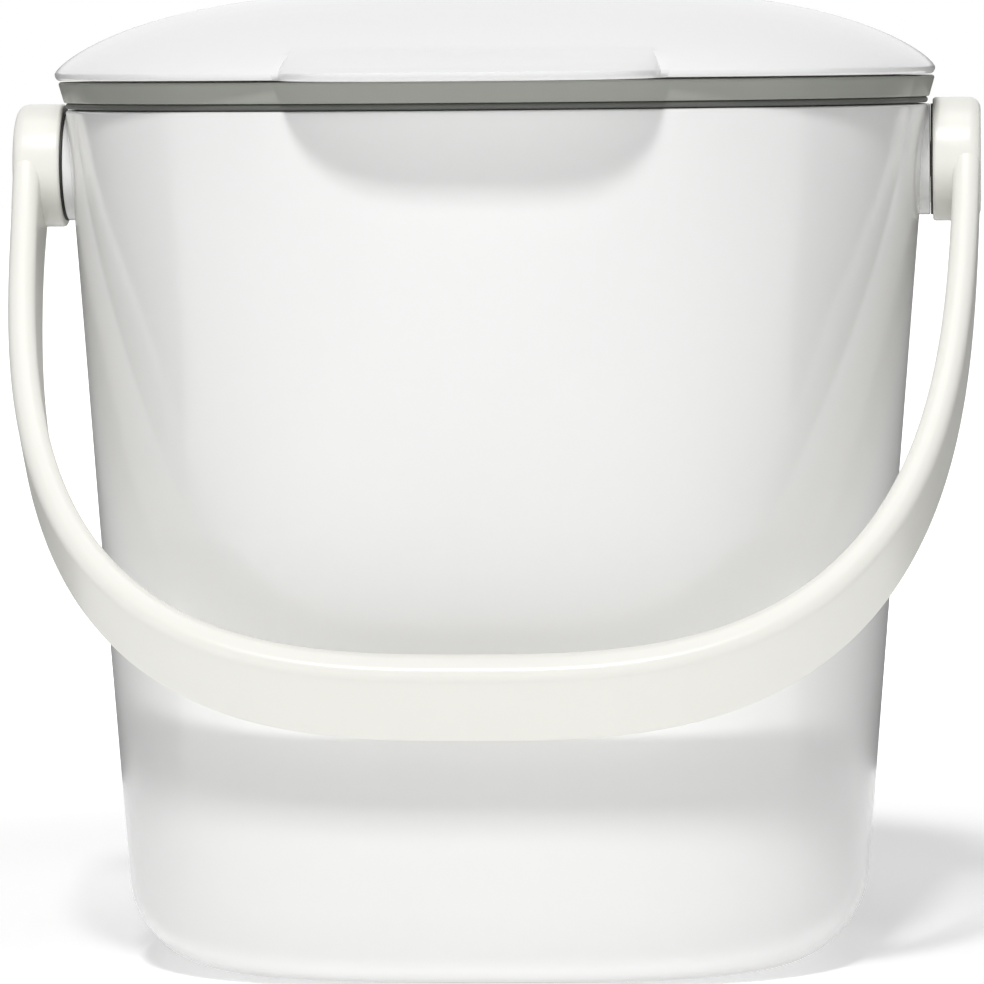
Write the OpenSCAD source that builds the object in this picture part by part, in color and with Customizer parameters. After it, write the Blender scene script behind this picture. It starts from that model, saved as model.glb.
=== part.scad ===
// Countertop compost caddy: a tapered bucket with a swinging bail, and a domed lid
// hinged on a collar that sits in the bucket's mouth. Millimetres, +Z up, front is -Y.

/* [Bucket] */
// Height of the bucket's rim above the table
bucket_h = 217.5; // [205:0.5:230]
// Width across the rim
rim_w = 221; // [214:0.2:226]
// Width the straight sides would have at the table
base_w = 185.5; // [178:0.5:192]
// Depth as a share of the width
depth_share = 0.875; // [0.85:0.005:0.9]
// Roundness exponent of the rim's outline (2 is an ellipse)
rim_n = 2; // [1.9:0.05:2.2]
// Roundness exponent of the outline at the table
base_n = 2.9; // [2.4:0.05:3.1]
// Wall thickness
wall = 2.6; // [2:0.1:3.2]
// Floor thickness
floor_t = 3; // [2:0.1:5]
// Radius that rounds the wall into the floor
foot_r = 21.5; // [14:0.5:26]

/* [Side creases] */
// Distance of the crease from the side at the rim
crease_in = 4.8; // [3:0.2:8]
// Further distance that the crease has moved inward 100 mm below the rim
crease_run = 25.2; // [15:0.2:30]
// Power that the crease's path follows: 1 is straight, and a higher one bends it inward low down
crease_bend = 1.7; // [1.3:0.1:2]
// Height where the crease has faded out
crease_end_z = 112; // [100:1:140]
// How far inside the side the front panel's curve, carried on, would pass, as a share of the crease's inset
front_tuck = 0.45; // [0.2:0.05:0.6]

/* [Pivots] */
// Distance of the handle's pivot axis behind the middle
pivot_y = 6; // [4:0.1:8]
// Distance of the handle's pivot axis below the rim
pivot_drop = 14.3; // [14.3:0.1:18]
// Radius of the round boss on each side
boss_r = 14.2; // [12:0.1:14.2]
// Distance from the middle to the boss's flat face
boss_x = 111; // [110.9:0.1:111.2]
// Radius of the pivot pin
pin_r = 4.5; // [3:0.1:5]
// Radial running clearance of pins in their bores
pin_gap = 0.06; // [0.03:0.01:0.09]

/* [Handle] */
// Distance from the middle to the outside of a handle leg
handle_half_span = 123.9; // [123:0.1:127]
// How far each side of the bail draws in towards the grip
handle_taper = 4.8; // [3.8:0.2:7]
// Distance from the pivot axis to the outer face of the grip
handle_reach = 172; // [169:0.5:177]
// Angle of the hanging handle, forward from straight down
rest_angle = 40.5; // [40.5:0.5:46]
// Thickness of a leg
leg_t = 6.8; // [6.2:0.1:8]
// Thickness of the grip
grip_t = 8.3; // [7:0.1:9.2]
// Width of a leg
leg_w = 20; // [18:0.5:24]
// Width of the grip
grip_w = 29; // [24:0.5:31]
// Radius of the round hubs
hub_r = 15.8; // [15:0.1:15.8]

/* [Collar] */
// Height of the collar's visible band
band_h = 5.4; // [4.5:0.1:6]
// How far the band's top edge stands out past the rim
band_out = 1.7; // [1:0.1:2]
// Radial width of the collar
collar_in = 6.8; // [6:0.1:9]
// Depth of the skirt inside the bucket
skirt_h = 5; // [3:0.1:5.5]

/* [Lid] */
// Width of the lid at its nose
lid_w = 224.8; // [224.4:0.1:227]
// Height of the dome above the nose
dome_h = 20.8; // [16:0.1:26]
// Roundness exponent of the lid's outline
lid_n = 2.2; // [2.1:0.05:2.4]
// Width of the finger tab
tab_w = 93; // [70:1:110]
// How far the tab stands out in front of the lid
tab_reach = 22; // [8:0.5:24]
// Wall thickness of the dome
lid_wall = 2.2; // [1.8:0.1:3]

/* [Hinge] */
// Distance of the hinge axis behind the middle
hinge_y = 103.6; // [103.1:0.1:105.5]
// Radius of the hinge knuckles
knuckle_r = 3.6; // [3.2:0.1:3.7]
// Radius of the hinge pin
hinge_pin_r = 1.5; // [1:0.1:2]
// Half the width of the lid's knuckle
lid_knuckle_x = 20; // [14:1:24]
// Width of each collar knuckle
collar_knuckle_w = 14; // [8:1:18]

/* [Hidden] */
$fn = 96;

// Columns of an outline's quarter: on the side panel and on the front panel
side_cols = 5;
front_cols = 14;
// Rings on the straight wall and in the rounded foot
wall_rings = 12;
foot_rings = 6;

// Small round on the bucket's rim
rim_round = 0.8;
// Levels above the rim: the seal lies in between, then the band, then the lid
seal_z = bucket_h + 0.25;
band_z = bucket_h + 1.85;
band_top = band_z + band_h;
lid_z = band_top + 0.35;
nose_z = lid_z + 1.7;
// Clearance of soft rings from what they seal on
soft_gap = 0.3;

pivot_z = bucket_h - pivot_drop;
// Depth of the blind pivot socket and of the pin inside it
socket_depth = 6.6;
pin_in = 6.3;
// Inner pad that the socket is sunk in
pad_r = 8;
pad_x = boss_x - 8.4;
// Washer and hub faces
washer_gap = 0.15;
washer_t = 0.55;
hub_x = boss_x + washer_gap + washer_t;
// Pin head let into the hub's outer face
head_r = 7.5;
head_t = 1.8;

hinge_z = band_z + 3.3;
knuckle_gap = 0.3;

function flat_sign(v) = v < 0 ? -1 : 1;
function half_w(z) = (base_w + (rim_w - base_w) * z / bucket_h) / 2;
function plan_n(z) = base_n + (rim_n - base_n) * min(1, z / bucket_h);

// Radius of a superellipse at the angle f from its side, in the first quarter
function polar_r(a, b, n, f) = pow(pow(cos(f) / a, n) + pow(sin(f) / b, n), -1 / n);
function polar_point(a, b, n, f) = let(r = polar_r(a, b, n, f)) [r * cos(f), r * sin(f)];

// A whole outline from its first quarter, which runs from the side to the front
function four_quarters(q) = let(k = len(q) - 1) concat(
    q,
    [for (i = [k - 1:-1:0]) [-q[i].x, q[i].y]],
    [for (i = [1:k]) [-q[i].x, -q[i].y]],
    [for (i = [k - 1:-1:1]) [q[i].x, -q[i].y]]);

// Share of the crease's strength that is left at height z
function crease_left(z) = let(u = max(0, min(1, (z - crease_end_z) / (bucket_h - crease_end_z)))) u * (2 - u);
function crease_inset(z) = min(34, crease_in + crease_run * pow(max(0, bucket_h - z) / 100, crease_bend));

// Bucket outline at height z, moved out by o: the front and back panels and the two side
// panels are superellipses that cross at the crease
function bucket_quarter(z, o) = let(
    a = half_w(z) + o,
    b = half_w(z) * depth_share + o,
    n = plan_n(z),
    side_share = pow((a - crease_inset(z)) / a, n),
    front_share = pow(a / (a - front_tuck * crease_inset(z) * crease_left(z)), n),
    y_share = 1 - front_share * side_share,
    b_side = b * pow((1 - side_share) / y_share, -1 / n),
    a_front = a * pow(front_share, -1 / n),
    crease_f = atan2(b * pow(y_share, 1 / n), a * pow(side_share, 1 / n)))
    concat(
        [for (i = [0:side_cols - 1]) polar_point(a, b_side, n, crease_f * i / side_cols)],
        [for (i = [0:front_cols])
            polar_point(a_front, b, n, crease_f + (90 - crease_f) * i / front_cols)]);

function bucket_ring(z, o = 0) = at_height(four_quarters(bucket_quarter(z, o)), z);
// The rim's outline moved out by o, set at any height
function rim_ring(o, z) = at_height(four_quarters(bucket_quarter(bucket_h, o)), z);
function at_height(pts, z) = [for (p = pts) [p.x, p.y, z]];

// Faces between neighbouring rings of n points
function wall_faces(n, first, last) = [for (j = [first:last - 1], i = [0:n - 1])
    [j * n + i, (j + 1) * n + i, (j + 1) * n + (i + 1) % n, j * n + (i + 1) % n]];
function joined(lists) = [for (l = lists, p = l) p];

// Solid between a stack of rings, closed by a flat face at each end
module stack(rings) {
    n = len(rings[0]);
    m = len(rings);
    polyhedron(joined(rings), concat(
        [[for (i = [0:n - 1]) i]],
        wall_faces(n, 0, m - 1),
        [[for (i = [n - 1:-1:0]) (m - 1) * n + i]]), convexity = 6);
}

// Ring-shaped solid whose rings run round a closed section
module loop(rings) {
    n = len(rings[0]);
    m = len(rings);
    polyhedron(joined(rings), [for (j = [0:m - 1], i = [0:n - 1])
        [j * n + i, (j + 1) % m * n + i, (j + 1) % m * n + (i + 1) % n, j * n + (i + 1) % n]],
        convexity = 6);
}

// Rings of a bucket-shaped solid with a rounded foot: outset o, floor height z0, foot radius r
function bucket_rings(o, z0, r, top) = concat(
    [for (j = [0:foot_rings - 1]) let(t = 90 * j / foot_rings)
        bucket_ring(z0 + r * (1 - cos(t)), o - r * (1 - sin(t)))],
    [for (j = [0:wall_rings]) bucket_ring(z0 + r + (top - z0 - r) * j / wall_rings, o)]);

module at_pivot(side) {
    translate([0, pivot_y, pivot_z]) rotate([0, side * 90, 0]) children();
}

module bucket() {
    color("#f5f5f3") difference() {
        union() {
            difference() {
                union() {
                    stack(concat(bucket_rings(0, 0, foot_r, bucket_h - rim_round),
                        [bucket_ring(bucket_h - rim_round * 0.3, -rim_round * 0.3),
                         bucket_ring(bucket_h, -rim_round)]));
                    for (side = [-1, 1])
                        at_pivot(side) translate([0, 0, pad_x]) cylinder(r = boss_r, h = boss_x - pad_x);
                }
                stack(bucket_rings(-wall, floor_t, foot_r - wall, bucket_h + 1));
            }
            for (side = [-1, 1])
                at_pivot(side) translate([0, 0, pad_x]) cylinder(r = pad_r, h = boss_x - pad_x - 1);
        }
        for (side = [-1, 1])
            at_pivot(side) translate([0, 0, boss_x - socket_depth])
                cylinder(r = pin_r + pin_gap, h = socket_depth + 1);
    }
}

// Outer edge of the bail in its own plane, from one hub (0) over the grip (90) to the other (180):
// a superellipse whose sides draw in towards the grip
bail_side_e = 2.9;
bail_grip_e = 3.3;
function bail_v(t) = handle_reach * pow(sin(t), 2 / bail_grip_e);
function bail_edge(t) = let(v = bail_v(t)) [
    (handle_half_span - handle_taper * v / handle_reach) * flat_sign(cos(t)) * pow(abs(cos(t)), 2 / bail_side_e), v];
function unit(v) = v / norm(v);
function bail_out(t) = let(d = unit(bail_edge(min(180, t + 1)) - bail_edge(max(0, t - 1))))
    [d.y, -d.x];
// The legs flare to this share of the hub's radius, over this distance from the pivot axis
flare_share = 0.93;
flare_v = 38;
// Power that the band widens by from the legs to the grip
widen_e = 1.1;
// Thickness and half-width of the bail
function bail_t(t) = leg_t + (grip_t - leg_t) * pow(bail_v(t) / handle_reach, 2);
function bail_half_w(t) = leg_w / 2 + (grip_w - leg_w) / 2 * pow(bail_v(t) / handle_reach, widen_e)
    + (hub_r * flare_share - leg_w / 2) * pow(max(0, 1 - bail_v(t) / flare_v), 2);
bail_steps = 48;
// Radius of the section's corners
bail_edge_r = 3;
corner_step = 22.5;

// One section of the bail, a rounded rectangle: c.x runs across the band, c.y from its outer face inward
function section_corner(w, d, a0) = [for (a = [a0:corner_step:a0 + 90])
    [w + bail_edge_r * cos(a), d + bail_edge_r * sin(a)]];
function band_section(th, hw) = let(w = hw - bail_edge_r, low = bail_edge_r - th) concat(
    section_corner(w, -bail_edge_r, 0), section_corner(-w, -bail_edge_r, 90),
    section_corner(-w, low, 180), section_corner(w, low, 270));
function bail_section(t) = let(p = bail_edge(t), out = bail_out(t))
    [for (c = band_section(bail_t(t), bail_half_w(t))) let(q = p + out * c.y) [q.x, c.x, -q.y]];

// Profile of a hub, with its outer edge rounded
hub_round = 3;
hub_out = handle_half_span - hub_x;
module hub_profile() {
    polygon(concat(
        [[0, 0], [hub_r - 0.8, 0], [hub_r, 0.8]],
        [for (a = [0:15:90]) [hub_r - hub_round * (1 - cos(a)), hub_out - hub_round * (1 - sin(a))]],
        [[0, hub_out]]));
}

module handle() {
    color("#f4f2ea") difference() {
        union() {
            translate([0, pivot_y, pivot_z]) rotate([-rest_angle, 0, 0])
                stack([for (i = [0:bail_steps]) bail_section(180 * i / bail_steps)]);
            for (side = [-1, 1])
                at_pivot(side) translate([0, 0, hub_x]) rotate_extrude() hub_profile();
        }
        for (side = [-1, 1]) at_pivot(side) {
            cylinder(r = pin_r, h = handle_half_span + 1);
            translate([0, 0, handle_half_span - head_t - 0.4]) cylinder(r = head_r, h = 5);
        }
    }
}

// Pin with a flat head let into the hub; its free end turns in the bucket's socket
module pivot_pin(side) {
    color("#eeece4") at_pivot(side) {
        translate([0, 0, boss_x - pin_in])
            cylinder(r = pin_r, h = handle_half_span - head_t - 0.4 - boss_x + pin_in);
        translate([0, 0, handle_half_span - head_t - 0.4]) cylinder(r = head_r, h = head_t);
    }
}
module pivot_pin_left() { pivot_pin(-1); }
module pivot_pin_right() { pivot_pin(1); }

module pivot_washer(side) {
    color("#26241f") at_pivot(side) translate([0, 0, boss_x + washer_gap]) difference() {
        cylinder(r = boss_r, h = washer_t);
        translate([0, 0, -1]) cylinder(r = pin_r + 0.2, h = washer_t + 2);
    }
}
module pivot_washer_left() { pivot_washer(-1); }
module pivot_washer_right() { pivot_washer(1); }

// Lugs of a hinge knuckle: a barrel round the hinge axis and the web that carries it
module barrel(x0, x1) {
    translate([x0, hinge_y, hinge_z]) rotate([0, 90, 0]) cylinder(r = knuckle_r, h = x1 - x0);
}
module hinge_bore(r) {
    translate([-60, hinge_y, hinge_z]) rotate([0, 90, 0]) cylinder(r = r, h = 120);
}
// Rear edge of the rim, where the hinge webs start
rear_y = rim_w / 2 * depth_share;

module collar() {
    skirt_z = bucket_h - skirt_h;
    skirt_o = -wall - 1;
    color("#a4a89e") difference() {
        union() {
            loop([
                rim_ring(-collar_in, skirt_z), rim_ring(skirt_o - 0.8, skirt_z), rim_ring(skirt_o, skirt_z + 1),
                rim_ring(skirt_o, band_z), rim_ring(0, band_z), rim_ring(0.4, band_z + 0.3),
                rim_ring(band_out - 0.1, band_top - 1), rim_ring(band_out, band_top - 0.5),
                rim_ring(band_out - 0.5, band_top), rim_ring(-collar_in, band_top)]);
            for (side = [-1, 1]) {
                x0 = lid_knuckle_x + knuckle_gap;
                x1 = x0 + collar_knuckle_w;
                barrel(side > 0 ? x0 : -x1, side > 0 ? x1 : -x0);
                translate([side > 0 ? x0 : -x1, rear_y - 5.5, band_z])
                    cube([collar_knuckle_w, hinge_y - rear_y + 5.5, band_top - 1 - band_z]);
            }
        }
        hinge_bore(hinge_pin_r);
    }
}

module collar_seal() {
    inner = -wall - 0.6;
    color("#55584f") loop([
        rim_ring(inner, seal_z), rim_ring(-0.5, seal_z), rim_ring(0, seal_z + 0.5),
        rim_ring(0, seal_z + 0.9), rim_ring(-0.5, band_z), rim_ring(inner, band_z)]);
}

// Quarter of the lid's outline at the share s of its width, moved out by o
lid_side_cols = 10;
tab_cols = 9;
lid_a = lid_w / 2;
lid_b = lid_a * depth_share;
tab_f = atan2(pow(1 - pow(tab_w / 2 / lid_a, lid_n), 1 / lid_n) * lid_b, tab_w / 2);
// How far the tab stands out at the distance x from the middle
function tab_out(x) = let(r = min(1, abs(x) / (tab_w / 2))) tab_reach * sqrt(max(0, 1 - pow(r, 3.2)));
function lid_quarter(s, o) = concat(
    [for (i = [0:lid_side_cols - 1]) polar_point(lid_a * s + o, lid_b * s + o, lid_n, tab_f * i / lid_side_cols)],
    [for (i = [0:tab_cols]) polar_point(lid_a * s + o, lid_b * s + o, lid_n,
        tab_f + (90 - tab_f) * (1 - cos(90 * i / tab_cols)))]);
// Outline with the share g of the tab added at the front, dropping by d at the tab's edge
function lid_ring(s, o, z, g = 0, d = 0) = [for (p = four_quarters(lid_quarter(s, o)))
    let(t = p.y < 0 ? tab_out(p.x / s) * g : 0) [p.x, p.y - t, z - d * t / tab_reach]];
function dome(s) = pow(1 - pow(s, 3.1), 1 / 1.35);

module lid_shell() {
    // Shares of the dome's width, with the share of the tab that each ring takes
    outer = [[0.12, 0], [0.26, 0], [0.4, 0], [0.52, 0], [0.63, 0], [0.73, 0], [0.81, 0], [0.88, 0], [0.935, 0],
        [0.965, 0.3], [0.984, 0.68], [0.995, 0.92], [1, 1]];
    inner = [1, 0.98, 0.94, 0.87, 0.77, 0.64, 0.48, 0.3, 0.12];
    tab_drop = 0.45;
    ledge_z = lid_z + 2;
    ledge_o = -5.6;
    inner_a = lid_a + ledge_o;
    color("#fafafa") difference() {
        union() {
            stack(concat(
                [for (i = [len(inner) - 1:-1:0]) lid_ring(inner[i] * inner_a / lid_a, 0,
                    ledge_z + (dome_h - lid_wall - ledge_z + nose_z) * dome(inner[i]))],
                [lid_ring(1, -2.6, ledge_z), lid_ring(1, -2.6, lid_z + 0.3),
                 lid_ring(1, -1.8, lid_z), lid_ring(1, -1.1, lid_z, 0.93, tab_drop),
                 lid_ring(1, -0.3, lid_z + 0.75, 1, tab_drop)],
                [for (i = [len(outer) - 1:-1:0]) lid_ring(outer[i][0], 0, nose_z + dome_h * dome(outer[i][0]),
                    outer[i][1])]));
            barrel(-lid_knuckle_x, lid_knuckle_x);
            translate([-lid_knuckle_x, hinge_y - knuckle_r + 0.3, hinge_z])
                cube([lid_knuckle_x * 2, knuckle_r * 2 - 0.6, lid_z + 3 - hinge_z]);
            translate([-lid_knuckle_x, rear_y - 2, lid_z + 0.3])
                cube([lid_knuckle_x * 2, hinge_y - rear_y + 2, 2.7]);
        }
        hinge_bore(hinge_pin_r + pin_gap);
    }
}

module lid_liner() {
    plug_o = -collar_in - 2.2;
    plug_z = band_z + 0.3;
    flange_o = -2.4;
    color("#e9e9e6") stack([
        rim_ring(plug_o - 3, plug_z), rim_ring(plug_o - 0.8, plug_z + 0.4), rim_ring(plug_o, plug_z + 1.6),
        rim_ring(plug_o, lid_z + 0.4), rim_ring(flange_o, lid_z + 0.4), rim_ring(flange_o, lid_z + 2),
        rim_ring(plug_o - 2, lid_z + 2), rim_ring(plug_o - 2, plug_z + 2)]);
}

module lid_seal() {
    back_o = -collar_in - 2.2;
    lip_o = -collar_in - soft_gap;
    low = band_z + 1.9;
    color("#9aa09a") loop([
        rim_ring(back_o, low), rim_ring(lip_o - 0.6, low + 0.3), rim_ring(lip_o, low + 1.3),
        rim_ring(lip_o - 0.8, low + 2), rim_ring(back_o, low + 2.3)]);
}

module hinge_pin() {
    half = lid_knuckle_x + knuckle_gap + collar_knuckle_w;
    color("silver") translate([-half, hinge_y, hinge_z]) rotate([0, 90, 0])
        cylinder(r = hinge_pin_r, h = half * 2);
}

bucket();
handle();
pivot_pin_left();
pivot_pin_right();
pivot_washer_left();
pivot_washer_right();
collar();
collar_seal();
lid_shell();
lid_liner();
lid_seal();
hinge_pin();
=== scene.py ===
"""Countertop compost caddy with a hinged lid: fine surfaces, materials, light and camera.

Lengths of the caddy and the camera's place are in millimetres, and become metres where they are used.
Lengths of the floor, the lamps and the cards are in metres, like the frame itself.
"""
import math

import bmesh
import bpy
from mathutils import Matrix, Vector


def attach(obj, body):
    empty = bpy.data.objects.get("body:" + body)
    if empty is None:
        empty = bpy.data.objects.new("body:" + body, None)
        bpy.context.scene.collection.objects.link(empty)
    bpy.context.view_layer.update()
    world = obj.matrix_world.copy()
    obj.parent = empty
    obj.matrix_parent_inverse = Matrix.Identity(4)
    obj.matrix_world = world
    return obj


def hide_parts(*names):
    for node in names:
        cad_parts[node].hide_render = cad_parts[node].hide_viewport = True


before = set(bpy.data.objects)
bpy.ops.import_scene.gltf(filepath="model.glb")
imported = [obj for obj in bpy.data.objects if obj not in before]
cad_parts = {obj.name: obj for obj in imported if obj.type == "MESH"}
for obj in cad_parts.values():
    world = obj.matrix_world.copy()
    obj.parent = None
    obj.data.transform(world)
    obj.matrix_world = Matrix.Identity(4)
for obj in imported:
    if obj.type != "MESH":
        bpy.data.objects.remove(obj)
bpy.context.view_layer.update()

MM = 0.001

# Camera, fitted to the photograph's outlines
CAMERA_AZIMUTH = 3.96
CAMERA_DISTANCE = 1700
CAMERA_HEIGHT = 233
CAMERA_PITCH = 3.85
CAMERA_YAW = 0.06
CAMERA_ROLL = 0.505
CAMERA_LENS = 242.4
CAMERA_SENSOR = 36
CLIP_NEAR = 0.05
CLIP_FAR = 100


def make_camera():
    look = math.radians(CAMERA_AZIMUTH + CAMERA_YAW)
    pitch = math.radians(CAMERA_PITCH)
    roll = math.radians(CAMERA_ROLL)
    stand = math.radians(CAMERA_AZIMUTH)
    ahead = Vector((-math.sin(look) * math.cos(pitch), math.cos(look) * math.cos(pitch), -math.sin(pitch)))
    right = Vector((math.cos(look), math.sin(look), 0))
    up = right.cross(ahead)
    rolled_right = right * math.cos(roll) - up * math.sin(roll)
    rolled_up = up * math.cos(roll) + right * math.sin(roll)
    data = bpy.data.cameras.new("camera")
    data.lens = CAMERA_LENS
    data.sensor_width = CAMERA_SENSOR
    data.clip_start = CLIP_NEAR
    data.clip_end = CLIP_FAR
    camera = bpy.data.objects.new("camera", data)
    bpy.context.scene.collection.objects.link(camera)
    to_side = CAMERA_DISTANCE * math.sin(stand)
    to_front = CAMERA_DISTANCE * math.cos(stand)
    place = Vector((to_side, -to_front, CAMERA_HEIGHT)) * MM
    turn = Matrix((rolled_right, rolled_up, -ahead)).transposed()
    camera.matrix_world = Matrix.Translation(place) @ turn.to_4x4()
    bpy.context.scene.camera = camera


make_camera()

# In the names, _O is an offset out from an outline, _N and _E are exponents of curves, _R is a radius,
# _T a thickness, _W a width and _H a height

# Bucket
BUCKET_H = 217.5
RIM_W = 221
BASE_W = 185.5
DEPTH_SHARE = 0.875
RIM_N = 2
BASE_N = 2.9
WALL = 2.6
FLOOR_T = 3
FOOT_R = 21.5
RIM_ROUND = 0.8

# Steps of the small round edges
EDGE_STEPS = 4
RIM_STEPS = 5
WASHER_STEPS = 3
BEAD_STEPS = 10

# Steps round a knuckle and round the hinge pin
KNUCKLE_STEPS = 64
ROD_STEPS = 48

# Side creases of the bucket
CREASE_IN = 4.8
CREASE_RUN = 25.2
CREASE_BEND = 1.7
CREASE_END_Z = 112
CREASE_INSET_MAX = 34
FRONT_TUCK = 0.45
CREASE_SOFT = 1.5

# Columns of an outline's quarter
SIDE_COLS = 24
BEND_COLS = 8
FRONT_COLS = 64

# Pivots
PIVOT_Y = 6
PIVOT_Z = BUCKET_H - 14.3
BOSS_R = 14.2
BOSS_X = 111
PIN_R = 4.5
PIN_GAP = 0.06
SOCKET_DEPTH = 6.6
SOCKET_CUT = 0.2
PIN_IN = 6.3
PIN_ROUND = 0.5
BOSS_ROUND = 0.35
PAD_R = 8
PAD_X = BOSS_X - 8.4
PAD_ROUND = 0.6
PAD_END = 2
BOSS_START = 3
WASHER_GAP = 0.15
WASHER_T = 0.55
WASHER_ROUND = 0.1
WASHER_BORE_GAP = 0.2
HUB_X = BOSS_X + WASHER_GAP + WASHER_T
HEAD_R = 7.5
HEAD_GAP = 0.15
HEAD_T = 1.8
HEAD_ROUND = 0.4
HEAD_LET_IN = 0.4

# Handle
HALF_SPAN = 123.9
HEAD_X = HALF_SPAN - HEAD_T - HEAD_LET_IN
TAPER = 4.8
REACH = 172
SIDE_E = 2.9
GRIP_E = 3.3
REST_ANGLE = 40.5
LEG_T = 6.8
GRIP_T = 8.3
LEG_W = 20
GRIP_W = 29
WIDEN_E = 1.1
HUB_R = 15.8
HUB_ROUND = 3
HUB_INNER_ROUND = 0.8
HUB_MOUTH = 0.35
HUB_MOUTH_DEPTH = 0.3
FLARE_V = 38
FLARE_SHARE = 0.93
BAIL_EDGE_R = 3

# Collar and seals
BAND_H = 5.4
BAND_OUT = 1.7
COLLAR_IN = 6.8
SKIRT_H = 5
SEAL_Z = BUCKET_H + 0.25
BAND_Z = BUCKET_H + 1.85
BAND_TOP = BAND_Z + BAND_H
SOFT_GAP = 0.3
SEAL_BEAD_R = 0.8
SEAL_BACK = 0.6

# Collar's section, as steps out and up: its skirt's nose, its band's foot and shoulder, its inner edges
SKIRT_GAP = 1
SKIRT_NOSE = [(-0.8, 0), (-0.3, 0.3), (0, 1)]
BAND_FOOT = [(-0.05, 0), (0.3, 0.12), (0.42, 0.32), (0.5, 0.6)]
BAND_SHOULDER = [(-0.1, -1.0), (0, -0.6), (-0.12, -0.2), (-0.45, 0)]
INNER_CUT = 0.3

# Collar's blocks that carry its knuckles
BLOCK_IN = 5.5
BLOCK_LOW = 1
BLOCK_ROUND = 0.4

# Lid
LID_W = 224.8
LID_A = LID_W / 2
LID_B = LID_A * DEPTH_SHARE
LID_N = 2.2
DOME_H = 20.8
TAB_HALF = 46.5
TAB_REACH = 22
TAB_DROP = 0.45
TAB_FROM = 0.935
LID_WALL = 2.2
LID_Z = BAND_TOP + 0.35
NOSE_Z = LID_Z + 1.7
LEDGE_RISE = 2
LEDGE_Z = LID_Z + LEDGE_RISE
LEDGE_O = -5.6

# Curves of the dome and of the tab, seen from the side and from above
DOME_SIDE_E = 3.1
DOME_TOP_E = 1.35
TAB_PLAN_E = 3.2
TAB_ROOT_E = 1.55

# Lid's rim: its inner edge as steps out and up, its underside and its round nose
RIM_EDGE = [(-2.6, LEDGE_RISE), (-2.6, 0.3), (-2.45, 0.08), (-2.2, 0)]
UNDERSIDE_O = -1.5
UNDERSIDE_TAB = 0.9
NOSE_IN = 1.3
NOSE_TAB = 0.92
NOSE_STEPS = 8

# Liner's section, as steps out and up: its plug's nose, its pan's rim and inner corner
PLUG_IN = 2.2
PLUG_RISE = 0.3
PLUG_NOSE = [(-3, 0), (-1.6, 0.1), (-0.8, 0.4), (-0.3, 0.9), (0, 1.6)]
FLANGE_O = -2.4
FLANGE_RISE = 0.4
PAN_RIM = [(-2, 0), (-2.2, -0.4)]
PAN_CORNER = [(-2.2, 2.4), (-2.6, 2)]

# Lid's soft ring: the steps of its lip, out and up
GASKET_RISE = 1.9
GASKET_H = 2.3
GASKET_LIP = [(-0.7, 0.28), (-0.2, 0.75), (0, 1.25), (-0.25, 1.7), (-0.8, 1.98)]

# Hinge
HINGE_Y = 103.6
HINGE_Z = BAND_Z + 3.3
KNUCKLE_R = 3.6
KNUCKLE_ROUND = 0.5
KNUCKLE_CUT = 0.2
KNUCKLE_GAP = 0.3
HINGE_PIN_R = 1.5
HINGE_PIN_ROUND = 0.4
LID_KNUCKLE_X = 20
COLLAR_KNUCKLE_W = 14
REAR_Y = RIM_W / 2 * DEPTH_SHARE

# Lid's two blocks that reach back to its knuckle
ARM_NARROWING = 0.3
ARM_TOP = 3
ARM_BOTTOM = 0.3
ARM_ROOT = 2
ARM_ROUND = 0.6

# An edge that turns more than this stays sharp
SHARP_ANGLE = math.radians(38)
# Points closer than this, in metres, become one
WELD = 1e-7


def clamp(value, low=0.0, high=1.0):
    return max(low, min(high, value))


def sign_pow(value, power):
    return math.copysign(abs(value) ** power, value)


def finish_mesh(name, part, body, nodes, material):
    """A smooth-shaded piece from a surface in millimetres, riding on its body in place of its CAD nodes."""
    mesh = bpy.data.meshes.new(name)
    mesh.from_pydata([Vector(v) * MM for v in part.verts], [], part.faces)
    work = bmesh.new()
    work.from_mesh(mesh)
    bmesh.ops.remove_doubles(work, verts=work.verts, dist=WELD)
    bmesh.ops.recalc_face_normals(work, faces=work.faces)
    for face in work.faces:
        face.smooth = True
    for edge in work.edges:
        if len(edge.link_faces) == 2:
            edge.smooth = edge.calc_face_angle(0) < SHARP_ANGLE
    work.to_mesh(mesh)
    work.free()
    mesh.materials.append(material)
    piece = bpy.data.objects.new(name, mesh)
    bpy.context.scene.collection.objects.link(piece)
    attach(piece, body)
    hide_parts(*nodes)
    return piece


class Surface:
    """Collects points and faces of one piece."""

    def __init__(self):
        self.verts = []
        self.faces = []

    def add(self, verts, faces):
        start = len(self.verts)
        self.verts += verts
        self.faces += [tuple(start + i for i in face) for face in faces]

    def stack(self, rings, closed=False):
        """Skin through rings of points: with flat ends, or round a closed section."""
        n = len(rings[0])
        m = len(rings)
        verts = [p for ring in rings for p in ring]
        faces = []
        for j in range(m if closed else m - 1):
            k = (j + 1) % m
            for i in range(n):
                h = (i + 1) % n
                faces.append((j * n + i, j * n + h, k * n + h, k * n + i))
        if not closed:
            faces.append(tuple(reversed(range(n))))
            faces.append(tuple(range((m - 1) * n, m * n)))
        self.add(verts, faces)

    def lathe(self, profile, side, z, y, steps=96, closed=False):
        """Turned form round an axis along X. The profile holds radii and places along it, side is 1 or -1."""
        rings = []
        for radius, x in profile:
            turn = [math.tau * i / steps for i in range(steps)]
            rings.append([(side * x, y + radius * math.cos(a), z + radius * math.sin(a)) for a in turn])
        self.stack(rings, closed)


def arc(centre, radius, start, end, steps):
    """Points of a circle's arc in a profile's plane, angles in degrees."""
    angles = [math.radians(start + (end - start) * i / steps) for i in range(steps + 1)]
    return [(centre[0] + radius * math.cos(a), centre[1] + radius * math.sin(a)) for a in angles]


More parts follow.
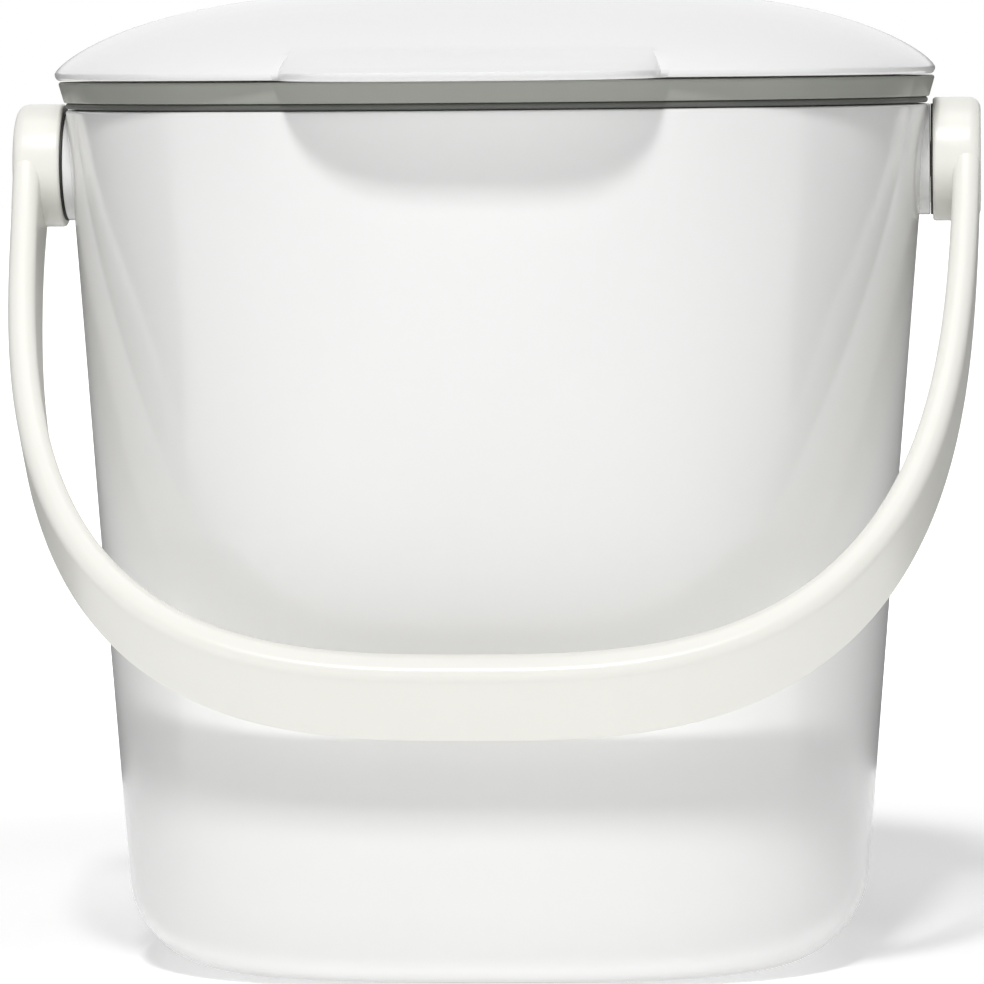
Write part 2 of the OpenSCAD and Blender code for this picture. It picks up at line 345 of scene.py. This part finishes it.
def shifted(points, out, up):
    """Steps out and up, made from a place beside an outline."""
    return [(out + o, up + z) for o, z in points]


def half_width(z):
    return (BASE_W + (RIM_W - BASE_W) * z / BUCKET_H) / 2


def plan_exponent(z):
    """Exponent of the bucket's outline at a height. A higher one is squarer."""
    return BASE_N + (RIM_N - BASE_N) * min(1.0, z / BUCKET_H)


def polar_point(a, b, n, angle):
    """Point of a superellipse with half axes a and b, seen from its middle at an angle."""
    c = abs(math.cos(angle))
    s = abs(math.sin(angle))
    radius = ((c / a) ** n + (s / b) ** n) ** (-1 / n)
    return (radius * c, radius * s)


def crease_left(z):
    """How deep the crease is at a height, from 1 at the rim to 0 at its lower end."""
    u = clamp((z - CREASE_END_Z) / (BUCKET_H - CREASE_END_Z))
    return u * (2 - u)


def crease_inset(z):
    """How far in from the bucket's side the crease runs at a height."""
    return min(CREASE_INSET_MAX, CREASE_IN + CREASE_RUN * (max(0.0, BUCKET_H - z) / 100) ** CREASE_BEND)


def bucket_quarter(z, out):
    """First quarter of the bucket's outline, from the side to the front, softly bent at the crease."""
    a = half_width(z) + out
    b = half_width(z) * DEPTH_SHARE + out
    n = plan_exponent(z)
    side_share = ((a - crease_inset(z)) / a) ** n
    front_share = (a / (a - FRONT_TUCK * crease_inset(z) * crease_left(z))) ** n
    y_share = 1 - front_share * side_share
    b_side = b * ((1 - side_share) / y_share) ** (-1 / n)
    a_front = a * front_share ** (-1 / n)
    crease = math.atan2(b * y_share ** (1 / n), a * side_share ** (1 / n))
    corner = polar_point(a, b_side, n, crease)
    soft = CREASE_SOFT / math.hypot(*corner)
    first = crease - soft
    last = crease + soft
    start = polar_point(a, b_side, n, first)
    end = polar_point(a_front, b, n, last)
    points = [polar_point(a, b_side, n, first * i / SIDE_COLS) for i in range(SIDE_COLS)]
    for i in range(BEND_COLS + 1):
        t = i / BEND_COLS
        points.append(tuple(
            start[k] * (1 - t) ** 2 + corner[k] * 2 * t * (1 - t) + end[k] * t ** 2 for k in (0, 1)))
    span = math.pi / 2 - last
    points += [polar_point(a_front, b, n, last + span * i / FRONT_COLS) for i in range(1, FRONT_COLS + 1)]
    points[0] = (a, 0.0)
    points[-1] = (0.0, b)
    return points


def four_quarters(quarter):
    back = [(-x, y) for x, y in reversed(quarter[:-1])]
    left = [(-x, -y) for x, y in quarter[1:]]
    right = [(x, -y) for x, y in reversed(quarter[1:-1])]
    return list(quarter) + back + left + right


def at_height(points, z):
    return [(x, y, z) for x, y in points]


def bucket_ring(z, out=0.0):
    return at_height(four_quarters(bucket_quarter(z, out)), z)


def rim_ring(out, z):
    """The rim's outline moved out, set at any height."""
    return at_height(four_quarters(bucket_quarter(BUCKET_H, out)), z)


def link(tree, source, socket_out, target, socket_in):
    tree.links.new(source.outputs[socket_out], target.inputs[socket_in])


def noise_node(tree, coords, scale, detail):
    node = tree.nodes.new("ShaderNodeTexNoise")
    node.inputs["Scale"].default_value = scale
    node.inputs["Detail"].default_value = detail
    link(tree, coords, "Object", node, "Vector")
    return node


# Middle span of a noise that a material uses
NOISE_LOW = 0.3
NOISE_HIGH = 0.7


def range_node(tree, source, low, high):
    node = tree.nodes.new("ShaderNodeMapRange")
    node.inputs["From Min"].default_value = NOISE_LOW
    node.inputs["From Max"].default_value = NOISE_HIGH
    node.inputs["To Min"].default_value = low
    node.inputs["To Max"].default_value = high
    link(tree, source, "Fac", node, "Value")
    return node


# Scale and detail of the noises: drifting colour, patches of gloss, fine grain
CLOUD_NOISE = (14, 3)
PATCH_NOISE = (45, 4)
GRAIN_SCALE = 1400.0
GRAIN_DETAIL = 2
GRAIN_DEPTH = 0.00004


def plastic(name, colour, drift, gloss, grain, grain_scale=GRAIN_SCALE, specular=0.5):
    """Moulded plastic: colour that drifts a little, gloss in soft patches, fine bumps of the mould."""
    material = bpy.data.materials.new(name)
    material.use_nodes = True
    tree = material.node_tree
    shader = tree.nodes["Principled BSDF"]
    shader.inputs["Specular IOR Level"].default_value = specular
    coords = tree.nodes.new("ShaderNodeTexCoord")
    cloud = noise_node(tree, coords, *CLOUD_NOISE)
    tint = tree.nodes.new("ShaderNodeMix")
    tint.data_type = "RGBA"
    tint.inputs["A"].default_value = (*[c * (1 - drift) for c in colour], 1)
    tint.inputs["B"].default_value = (*[min(1.0, c * (1 + drift)) for c in colour], 1)
    share = range_node(tree, cloud, 0, 1)
    tree.links.new(share.outputs["Result"], tint.inputs["Factor"])
    tree.links.new(tint.outputs["Result"], shader.inputs["Base Color"])
    patches = noise_node(tree, coords, *PATCH_NOISE)
    rough = range_node(tree, patches, gloss[0], gloss[1])
    tree.links.new(rough.outputs["Result"], shader.inputs["Roughness"])
    pits = noise_node(tree, coords, grain_scale, GRAIN_DETAIL)
    bump = tree.nodes.new("ShaderNodeBump")
    bump.inputs["Strength"].default_value = grain
    bump.inputs["Distance"].default_value = GRAIN_DEPTH
    link(tree, pits, "Fac", bump, "Height")
    tree.links.new(bump.outputs["Normal"], shader.inputs["Normal"])
    return material


def drawn_steel(name):
    """Drawn wire: grey metal with a fine grain."""
    material = plastic(name, (0.6, 0.6, 0.59), 0.06, (0.25, 0.42), 0.3, grain_scale=2200.0)
    material.node_tree.nodes["Principled BSDF"].inputs["Metallic"].default_value = 1.0
    return material


BUCKET_WHITE = plastic("bucket_white", (0.86, 0.86, 0.855), 0.006, (0.16, 0.22), 0.12)
HANDLE_CREAM = plastic("handle_cream", (0.865, 0.857, 0.805), 0.008, (0.28, 0.36), 0.2)
PIN_CREAM = plastic("pin_cream", (0.82, 0.81, 0.75), 0.01, (0.34, 0.42), 0.25)
# The washers are real pieces, but their near-black colour is painted shade: it stands in for the shadow in
# the gap between each hub and its boss
WASHER_PAINTED_SHADE = plastic("washer_dark", (0.014, 0.013, 0.011), 0.05, (0.5, 0.6), 0.3)
COLLAR_GREY = plastic("collar_grey", (0.335, 0.343, 0.31), 0.012, (0.3, 0.38), 0.2, specular=0.3)
SEAL_DARK = plastic("seal_dark", (0.1, 0.105, 0.095), 0.03, (0.5, 0.62), 0.35)
LID_WHITE = plastic("lid_white", (0.89, 0.89, 0.89), 0.006, (0.14, 0.2), 0.12)
LINER_WHITE = plastic("liner_white", (0.82, 0.82, 0.8), 0.01, (0.3, 0.4), 0.3)
SEAL_PALE = plastic("seal_pale", (0.4, 0.42, 0.4), 0.03, (0.5, 0.6), 0.4)
PIN_STEEL = drawn_steel("pin_steel")

# Rings on the bucket's wall and in its foot
WALL_RINGS = 84
FOOT_RINGS = 20


def bucket_rings(out, floor_z, radius, top):
    """Rings of one face of the bucket's wall: up the round foot, then up the wall."""
    rings = []
    for j in range(FOOT_RINGS):
        t = math.pi / 2 * j / FOOT_RINGS
        rings.append(bucket_ring(floor_z + radius * (1 - math.cos(t)), out - radius * (1 - math.sin(t))))
    start = floor_z + radius
    return rings + [bucket_ring(start + (top - start) * j / WALL_RINGS, out) for j in range(WALL_RINGS + 1)]


def boss_profile():
    profile = [(BOSS_R, PAD_X + BOSS_START)]
    profile += arc((BOSS_R - BOSS_ROUND, BOSS_X - BOSS_ROUND), BOSS_ROUND, 0, 90, EDGE_STEPS)
    bore_r = PIN_R + PIN_GAP
    profile += [(bore_r + SOCKET_CUT, BOSS_X), (bore_r, BOSS_X - SOCKET_CUT)]
    return profile + [(bore_r, BOSS_X - SOCKET_DEPTH)]


def pad_profile():
    """The pad that backs a boss inside the bucket."""
    profile = arc((PAD_R - PAD_ROUND, PAD_X + PAD_ROUND), PAD_ROUND, -90, 0, EDGE_STEPS)
    return profile + [(PAD_R, BOSS_X - PAD_END)]


def make_bucket():
    body = Surface()
    rim = []
    for o, z in arc((-RIM_ROUND, BUCKET_H - RIM_ROUND), RIM_ROUND, 0, 90, RIM_STEPS)[1:]:
        rim.append(bucket_ring(z, o))
    for o, z in arc((-WALL + RIM_ROUND, BUCKET_H - RIM_ROUND), RIM_ROUND, 90, 180, RIM_STEPS)[:-1]:
        rim.append(bucket_ring(z, o))
    inside = bucket_rings(-WALL, FLOOR_T, FOOT_R - WALL, BUCKET_H - RIM_ROUND)
    body.stack(bucket_rings(0, 0, FOOT_R, BUCKET_H - RIM_ROUND) + rim + inside[::-1])
    for side in (-1, 1):
        body.lathe(boss_profile(), side, PIVOT_Z, PIVOT_Y)
        body.lathe(pad_profile(), side, PIVOT_Z, PIVOT_Y)
    finish_mesh("bucket_body", body, "bucket", ["bucket"], BUCKET_WHITE)


# Sections along the bail, points round a corner and across a broad face of each, and round a hub's edge
BAIL_STEPS = 220
CORNER_STEPS = 8
FACE_STEPS = 8
HUB_STEPS = 10


def bail_v(t):
    """How far below the pivots the bail is at angle t along its curve, before it is turned forward."""
    return REACH * max(0.0, math.sin(t)) ** (2 / GRIP_E)


def bail_edge(t):
    """Point of the bail's outer edge in its own plane: sideways, and down from the pivots."""
    v = bail_v(t)
    return Vector(((HALF_SPAN - TAPER * v / REACH) * sign_pow(math.cos(t), 2 / SIDE_E), v))


def bail_out(t):
    """Direction square to the bail's outer edge, in its own plane."""
    step = math.radians(1)
    run = bail_edge(min(math.pi, t + step)) - bail_edge(max(0.0, t - step))
    run.normalize()
    return Vector((run.y, -run.x))


def band_section(thick, half):
    """The band's section, a rounded rectangle: across it, and inward from its outer face (negative)."""
    w = half - BAIL_EDGE_R
    low = BAIL_EDGE_R - thick
    points = arc((w, -BAIL_EDGE_R), BAIL_EDGE_R, 0, 90, CORNER_STEPS)
    points += [(w * (1 - 2 * i / FACE_STEPS), 0.0) for i in range(1, FACE_STEPS)]
    points += arc((-w, -BAIL_EDGE_R), BAIL_EDGE_R, 90, 180, CORNER_STEPS)
    points += arc((-w, low), BAIL_EDGE_R, 180, 270, CORNER_STEPS)
    points += [(w * (2 * i / FACE_STEPS - 1), -thick) for i in range(1, FACE_STEPS)]
    return points + arc((w, low), BAIL_EDGE_R, 270, 360, CORNER_STEPS)


def bail_section(t):
    """One section of the hanging bail, turned forward to its rest angle."""
    edge = bail_edge(t)
    out = bail_out(t)
    share = edge.y / REACH
    thick = LEG_T + (GRIP_T - LEG_T) * share ** 2
    half = LEG_W / 2 + (GRIP_W - LEG_W) / 2 * share ** WIDEN_E
    half += (HUB_R * FLARE_SHARE - LEG_W / 2) * max(0.0, 1 - edge.y / FLARE_V) ** 2
    turn = math.radians(-REST_ANGLE)
    points = []
    for across, depth in band_section(thick, half):
        x = edge.x + out.x * depth
        z = -(edge.y + out.y * depth)
        y = across * math.cos(turn) - z * math.sin(turn)
        points.append((x, PIVOT_Y + y, PIVOT_Z + across * math.sin(turn) + z * math.cos(turn)))
    return points


def hub_profile():
    inner = HUB_INNER_ROUND
    profile = [(PIN_R, HUB_X)] + arc((HUB_R - inner, HUB_X + inner), inner, -90, 0, EDGE_STEPS)
    profile += arc((HUB_R - HUB_ROUND, HALF_SPAN - HUB_ROUND), HUB_ROUND, 0, 90, HUB_STEPS)
    profile += [(HEAD_R + HUB_MOUTH, HALF_SPAN), (HEAD_R, HALF_SPAN - HUB_MOUTH_DEPTH)]
    return profile + [(HEAD_R, HEAD_X), (PIN_R, HEAD_X)]


def make_handle():
    bail = Surface()
    bail.stack([bail_section(math.pi * i / BAIL_STEPS) for i in range(BAIL_STEPS + 1)])
    for side in (-1, 1):
        bail.lathe(hub_profile(), side, PIVOT_Z, PIVOT_Y, closed=True)
    finish_mesh("bail_handle", bail, "handle", ["handle"], HANDLE_CREAM)


def pin_profile():
    shank = arc((PIN_R - PIN_ROUND, BOSS_X - PIN_IN + PIN_ROUND), PIN_ROUND, -90, 0, EDGE_STEPS)
    head_r = HEAD_R - HEAD_GAP
    head = arc((head_r - HEAD_ROUND, HEAD_X + HEAD_T - HEAD_ROUND), HEAD_ROUND, 0, 90, EDGE_STEPS)
    return shank + [(PIN_R, HEAD_X), (head_r, HEAD_X)] + head


def washer_profile():
    inner_x = BOSS_X + WASHER_GAP
    outer_x = inner_x + WASHER_T
    bore = PIN_R + WASHER_BORE_GAP
    edge_r = BOSS_R - WASHER_ROUND
    profile = arc((edge_r, inner_x + WASHER_ROUND), WASHER_ROUND, -90, 0, WASHER_STEPS)
    profile += arc((edge_r, outer_x - WASHER_ROUND), WASHER_ROUND, 0, 90, WASHER_STEPS)
    return profile + [(bore, outer_x), (bore, inner_x)]


def make_pivots():
    for side, word in ((-1, "left"), (1, "right")):
        pin = Surface()
        pin.lathe(pin_profile(), side, PIVOT_Z, PIVOT_Y)
        finish_mesh("handle_pin_" + word, pin, "handle", ["pivot_pin_" + word], PIN_CREAM)
        washer = Surface()
        washer.lathe(washer_profile(), side, PIVOT_Z, PIVOT_Y, closed=True)
        finish_mesh("washer_" + word, washer, "handle", ["pivot_washer_" + word], WASHER_PAINTED_SHADE)


def knuckle_profile(x0, x1, bore):
    edge_r = KNUCKLE_R - KNUCKLE_ROUND
    profile = [(bore, x0 + KNUCKLE_CUT), (bore + KNUCKLE_CUT, x0)]
    profile += arc((edge_r, x0 + KNUCKLE_ROUND), KNUCKLE_ROUND, -90, 0, EDGE_STEPS)
    profile += arc((edge_r, x1 - KNUCKLE_ROUND), KNUCKLE_ROUND, 0, 90, EDGE_STEPS)
    return profile + [(bore + KNUCKLE_CUT, x1), (bore, x1 - KNUCKLE_CUT)]


# Angles at which a soft block's rounded ends have a ring
BLOCK_ANGLES = (0, 30, 60, 90)


def soft_block(part, low, high, soft):
    """Block with rounded edges, as rings of a rounded outline stacked along X."""
    (x0, y0, z0), (x1, y1, z1) = low, high
    corners = ((y1, z1, 0), (y0, z1, 90), (y0, z0, 180), (y1, z0, 270))

    def ring(x, cut):
        points = []
        for y, z, turn in corners:
            cy = y - math.copysign(soft, y - (y0 + y1) / 2)
            cz = z - math.copysign(soft, z - (z0 + z1) / 2)
            rounding = arc((cy, cz), soft - cut, turn, turn + 90, EDGE_STEPS)
            points += [(x, py, pz) for py, pz in rounding]
        return points

    ends = []
    for angle in BLOCK_ANGLES:
        turn = math.radians(angle)
        ends.append((soft * (1 - math.sin(turn)), soft * (1 - math.cos(turn))))
    rings = [ring(x0 + along, cut) for along, cut in reversed(ends)]
    rings += [ring(x1 - along, cut) for along, cut in ends]
    part.stack(rings)


def collar_section():
    skirt_z = BUCKET_H - SKIRT_H
    skirt_o = -WALL - SKIRT_GAP
    inner_o = -COLLAR_IN
    section = [(inner_o + INNER_CUT, skirt_z)]
    section += shifted(SKIRT_NOSE, skirt_o, skirt_z)
    section += [(skirt_o, BAND_Z)]
    section += shifted(BAND_FOOT, 0, BAND_Z)
    section += shifted(BAND_SHOULDER, BAND_OUT, BAND_TOP)
    section += [(inner_o + INNER_CUT, BAND_TOP), (inner_o, BAND_TOP - INNER_CUT)]
    return section + [(inner_o, skirt_z + INNER_CUT)]


def make_collar():
    part = Surface()
    part.stack([rim_ring(o, z) for o, z in collar_section()], closed=True)
    for side in (-1, 1):
        x0 = LID_KNUCKLE_X + KNUCKLE_GAP
        x1 = x0 + COLLAR_KNUCKLE_W
        part.lathe(knuckle_profile(x0, x1, HINGE_PIN_R), side, HINGE_Z, HINGE_Y, KNUCKLE_STEPS, closed=True)
        low = (x0 if side > 0 else -x1, REAR_Y - BLOCK_IN, BAND_Z)
        high = (x1 if side > 0 else -x0, HINGE_Y, BAND_TOP - BLOCK_LOW)
        soft_block(part, low, high, BLOCK_ROUND)
    finish_mesh("collar_frame", part, "collar", ["collar"], COLLAR_GREY)


def make_collar_seal():
    part = Surface()
    inner = -WALL - SEAL_BACK
    bead = arc((-SEAL_BEAD_R, (SEAL_Z + BAND_Z) / 2), SEAL_BEAD_R, -90, 90, BEAD_STEPS)
    section = [(inner, SEAL_Z)] + bead + [(inner, BAND_Z)]
    part.stack([rim_ring(o, z) for o, z in section], closed=True)
    finish_mesh("rim_seal", part, "collar", ["collar_seal"], SEAL_DARK)


# Columns of the lid's quarter beside the tab and along it, and rings of the dome
LID_SIDE_COLS = 56
TAB_COLS = 48
DOME_RINGS = 64
# Rings crowd at the dome's rim by this power, and the last one leaves this share of its width
DOME_CROWDING = 2.3
DOME_CENTRE = 0.02
TAB_ANGLE = math.atan2((1 - (TAB_HALF / LID_A) ** LID_N) ** (1 / LID_N) * LID_B, TAB_HALF)


def tab_out(x):
    r = min(1.0, abs(x) / TAB_HALF)
    return TAB_REACH * math.sqrt(max(0.0, 1 - r ** TAB_PLAN_E))


def lid_quarter(share, out):
    a = LID_A * share + out
    b = LID_B * share + out
    points = [polar_point(a, b, LID_N, TAB_ANGLE * i / LID_SIDE_COLS) for i in range(LID_SIDE_COLS)]
    for i in range(TAB_COLS + 1):
        turn = 1 - math.cos(math.pi / 2 * i / TAB_COLS)
        points.append(polar_point(a, b, LID_N, TAB_ANGLE + (math.pi / 2 - TAB_ANGLE) * turn))
    points[0] = (a, 0.0)
    points[-1] = (0.0, b)
    return points


def lid_ring(share, out, z, tab=0.0, drop=0.0):
    """The lid's outline at a share of its width, with the tab out by a share of its reach."""
    points = []
    for x, y in four_quarters(lid_quarter(share, out)):
        reach = tab_out(x / share) * tab if y < 0 else 0.0
        points.append((x, y - reach, z - drop * reach / TAB_REACH))
    return points


def dome(share):
    """Height of the dome, from 1 at the middle to 0 at the rim."""
    return max(0.0, 1 - share ** DOME_SIDE_E) ** (1 / DOME_TOP_E)


def tab_share(share):
    """How far the tab has come out at a share of the lid's width."""
    return clamp((share - TAB_FROM) / (1 - TAB_FROM)) ** TAB_ROOT_E


def dome_shares():
    """Shares of the dome's width from the rim inward, close together at the rim."""
    shares = [1 - (1 - i / DOME_RINGS) ** DOME_CROWDING for i in range(1, DOME_RINGS)]
    return list(reversed(shares)) + [DOME_CENTRE]


def lid_rings():
    """Rings of the lid's shell: down its inner face, round its rim and the tab, and up the dome."""
    inner_share = (LID_A + LEDGE_O) / LID_A
    inner_h = DOME_H - LID_WALL - LEDGE_Z + NOSE_Z
    rings = []
    for share in reversed([1.0] + dome_shares()):
        rings.append(lid_ring(share * inner_share, 0, LEDGE_Z + inner_h * dome(share)))
    rings += [lid_ring(1, out, LID_Z + up) for out, up in RIM_EDGE]
    rings.append(lid_ring(1, UNDERSIDE_O, LID_Z, UNDERSIDE_TAB, TAB_DROP))
    for i in range(1, NOSE_STEPS + 1):
        t = math.pi / 2 * i / NOSE_STEPS
        out = NOSE_IN * (math.sin(t) - 1)
        z = NOSE_Z - (NOSE_Z - LID_Z) * math.cos(t)
        tab = NOSE_TAB + (1 - NOSE_TAB) * math.sin(t)
        rings.append(lid_ring(1, out, z, tab, TAB_DROP * math.cos(t)))
    for share in dome_shares():
        rings.append(lid_ring(share, 0, NOSE_Z + DOME_H * dome(share), tab_share(share)))
    return rings


def make_lid():
    part = Surface()
    part.stack(lid_rings())
    half = LID_KNUCKLE_X
    bore = HINGE_PIN_R + PIN_GAP
    part.lathe(knuckle_profile(-half, half, bore), 1, HINGE_Z, HINGE_Y, KNUCKLE_STEPS, closed=True)
    arm_r = KNUCKLE_R - ARM_NARROWING
    arm_z = LID_Z + ARM_TOP
    soft_block(part, (-half, HINGE_Y - arm_r, HINGE_Z), (half, HINGE_Y + arm_r, arm_z), ARM_ROUND)
    soft_block(part, (-half, REAR_Y - ARM_ROOT, LID_Z + ARM_BOTTOM), (half, HINGE_Y, arm_z), ARM_ROUND)
    finish_mesh("lid_dome", part, "lid", ["lid_shell"], LID_WHITE)


def make_liner():
    part = Surface()
    plug_o = -COLLAR_IN - PLUG_IN
    plug_z = BAND_Z + PLUG_RISE
    flange_z = LID_Z + FLANGE_RISE
    section = shifted(PLUG_NOSE, plug_o, plug_z)
    section += [(plug_o, flange_z), (FLANGE_O, flange_z), (FLANGE_O, LEDGE_Z)]
    section += shifted(PAN_RIM, plug_o, LEDGE_Z)
    section += shifted(PAN_CORNER, plug_o, plug_z)
    part.stack([rim_ring(o, z) for o, z in section])
    finish_mesh("lid_inner_panel", part, "lid", ["lid_liner"], LINER_WHITE)


def make_lid_seal():
    part = Surface()
    back_o = -COLLAR_IN - PLUG_IN
    low = BAND_Z + GASKET_RISE
    section = [(back_o, low)] + shifted(GASKET_LIP, -COLLAR_IN - SOFT_GAP, low) + [(back_o, low + GASKET_H)]
    part.stack([rim_ring(o, z) for o, z in section], closed=True)
    finish_mesh("lid_gasket", part, "lid", ["lid_seal"], SEAL_PALE)


def make_hinge_pin():
    part = Surface()
    half = LID_KNUCKLE_X + KNUCKLE_GAP + COLLAR_KNUCKLE_W
    edge_r = HINGE_PIN_R - HINGE_PIN_ROUND
    edge_x = half - HINGE_PIN_ROUND
    rod = arc((edge_r, -edge_x), HINGE_PIN_ROUND, -90, 0, EDGE_STEPS)
    rod += arc((edge_r, edge_x), HINGE_PIN_ROUND, 0, 90, EDGE_STEPS)
    part.lathe(rod, 1, HINGE_Z, HINGE_Y, ROD_STEPS)
    finish_mesh("hinge_rod", part, "collar", ["hinge_pin"], PIN_STEEL)


# Floor: its shadows show near the caddy, and it fades to white with the distance
FLOOR_HALF = 8.0
FLOOR_COLOUR = (0.82, 0.82, 0.82, 1)
FLOOR_LIFT = 0.35
FADE_NEAR = 0.25
FADE_FAR = 0.8
FADE_LIFT = 1.2
# Glow of the floor that lights the caddy from below, the same near and far
BOUNCE_GLOW = 0.37


def shown_rays(tree):
    """1 for rays from the camera and for those that mirrors and glass send on."""
    path = tree.nodes.new("ShaderNodeLightPath")
    first = tree.nodes.new("ShaderNodeMath")
    first.operation = "MAXIMUM"
    second = tree.nodes.new("ShaderNodeMath")
    second.operation = "MAXIMUM"
    link(tree, path, "Is Camera Ray", first, 0)
    link(tree, path, "Is Glossy Ray", first, 1)
    link(tree, first, 0, second, 0)
    link(tree, path, "Is Transmission Ray", second, 1)
    return second


def floor_glow(tree):
    """The floor's glow: whiter with the distance where it shows, even where it lights other things."""
    glow = tree.nodes.new("ShaderNodeEmission")
    coords = tree.nodes.new("ShaderNodeTexCoord")
    away = tree.nodes.new("ShaderNodeVectorMath")
    away.operation = "LENGTH"
    link(tree, coords, "Object", away, 0)
    fade = tree.nodes.new("ShaderNodeMapRange")
    fade.interpolation_type = "SMOOTHSTEP"
    fade.inputs["From Min"].default_value = FADE_NEAR
    fade.inputs["From Max"].default_value = FADE_FAR
    fade.inputs["To Min"].default_value = FLOOR_LIFT
    fade.inputs["To Max"].default_value = FADE_LIFT
    link(tree, away, "Value", fade, "Value")
    lift = tree.nodes.new("ShaderNodeMapRange")
    lift.inputs["To Min"].default_value = BOUNCE_GLOW
    link(tree, shown_rays(tree), 0, lift, "Value")
    link(tree, fade, "Result", lift, "To Max")
    link(tree, lift, "Result", glow, "Strength")
    return glow


def floor_material():
    material = bpy.data.materials.new("floor_white")
    material.use_nodes = True
    tree = material.node_tree
    tree.nodes.clear()
    diffuse = tree.nodes.new("ShaderNodeBsdfDiffuse")
    diffuse.inputs["Color"].default_value = FLOOR_COLOUR
    both = tree.nodes.new("ShaderNodeAddShader")
    link(tree, diffuse, 0, both, 0)
    link(tree, floor_glow(tree), 0, both, 1)
    output = tree.nodes.new("ShaderNodeOutputMaterial")
    link(tree, both, 0, output, "Surface")
    return material


def make_floor():
    mesh = bpy.data.meshes.new("floor")
    h = FLOOR_HALF
    mesh.from_pydata([(-h, -h, 0), (h, -h, 0), (h, h, 0), (-h, h, 0)], [], [(0, 1, 2, 3)])
    mesh.materials.append(floor_material())
    floor = bpy.data.objects.new("floor", mesh)
    bpy.context.scene.collection.objects.link(floor)


# World: white where it shows, a soft grey fill elsewhere
WORLD_FILL = 0.18


def make_world():
    world = bpy.data.worlds.new("studio")
    bpy.context.scene.world = world
    world.use_nodes = True
    tree = world.node_tree
    background = tree.nodes["Background"]
    background.inputs["Color"].default_value = (1, 1, 1, 1)
    strength = tree.nodes.new("ShaderNodeMapRange")
    strength.inputs["To Min"].default_value = WORLD_FILL
    strength.inputs["To Max"].default_value = 1.0
    link(tree, shown_rays(tree), 0, strength, "Value")
    link(tree, strength, "Result", background, "Strength")


# Height of the point that the lamps look at
LAMP_AIM = 0.12


def soft_light(name, azimuth, elevation, distance, size, power, mirrored=True):
    """Square area lamp that looks at the middle of the caddy. Azimuth 0 is in front, 90 on its right."""
    turn = math.radians(azimuth)
    rise = math.radians(elevation)
    back = Vector((math.sin(turn) * math.cos(rise), -math.cos(turn) * math.cos(rise), math.sin(rise)))
    data = bpy.data.lights.new(name, "AREA")
    data.shape = "SQUARE"
    data.size = size
    data.energy = power
    lamp = bpy.data.objects.new(name, data)
    lamp.location = Vector((0, 0, LAMP_AIM)) + back * distance
    lamp.rotation_euler = (-back).to_track_quat("-Z", "Y").to_euler()
    lamp.visible_camera = False
    lamp.visible_glossy = mirrored
    bpy.context.scene.collection.objects.link(lamp)


# Low grey cards round the back of the caddy. Only reflections show them: they darken its glossy sides
CARD_GREY = 0.08
CARD_DISTANCE = 0.32
CARD_HEIGHT = 0.25
CARD_WIDTH = 0.26
CARD_LIFT = 0.01
CARD_AZIMUTHS = (-100, -140, 180, 140, 100)


def card_material():
    material = bpy.data.materials.new("card_grey")
    material.use_nodes = True
    tree = material.node_tree
    tree.nodes.clear()
    glow = tree.nodes.new("ShaderNodeEmission")
    glow.inputs["Strength"].default_value = CARD_GREY
    output = tree.nodes.new("ShaderNodeOutputMaterial")
    link(tree, glow, 0, output, "Surface")
    return material


def make_cards():
    material = card_material()
    half = CARD_WIDTH / 2
    corners = [(-half, 0, 0), (half, 0, 0), (half, 0, CARD_HEIGHT), (-half, 0, CARD_HEIGHT)]
    for azimuth in CARD_AZIMUTHS:
        mesh = bpy.data.meshes.new("card")
        mesh.from_pydata(corners, [], [(0, 1, 2, 3)])
        mesh.materials.append(material)
        card = bpy.data.objects.new("card", mesh)
        turn = math.radians(azimuth)
        card.location = (CARD_DISTANCE * math.sin(turn), -CARD_DISTANCE * math.cos(turn), CARD_LIFT)
        card.rotation_euler = (0, 0, turn)
        card.visible_camera = False
        card.visible_diffuse = False
        card.visible_shadow = False
        card.visible_transmission = False
        card.visible_volume_scatter = False
        bpy.context.scene.collection.objects.link(card)


def make_lights():
    soft_light("key", azimuth=-4, elevation=49, distance=4.0, size=0.45, power=81.5)
    soft_light("top", azimuth=0, elevation=85, distance=1.8, size=0.9, power=6)
    soft_light("front_fill", azimuth=0, elevation=8, distance=2.6, size=1.2, power=4.5, mirrored=False)
    soft_light("back_fill", azimuth=180, elevation=30, distance=2.6, size=1.2, power=5, mirrored=False)


make_bucket()
make_handle()
make_pivots()
make_collar()
make_collar_seal()
make_lid()
make_liner()
make_lid_seal()
make_hinge_pin()
make_floor()
make_world()
make_cards()
make_lights()
bpy.context.scene.view_settings.view_transform = "Standard"
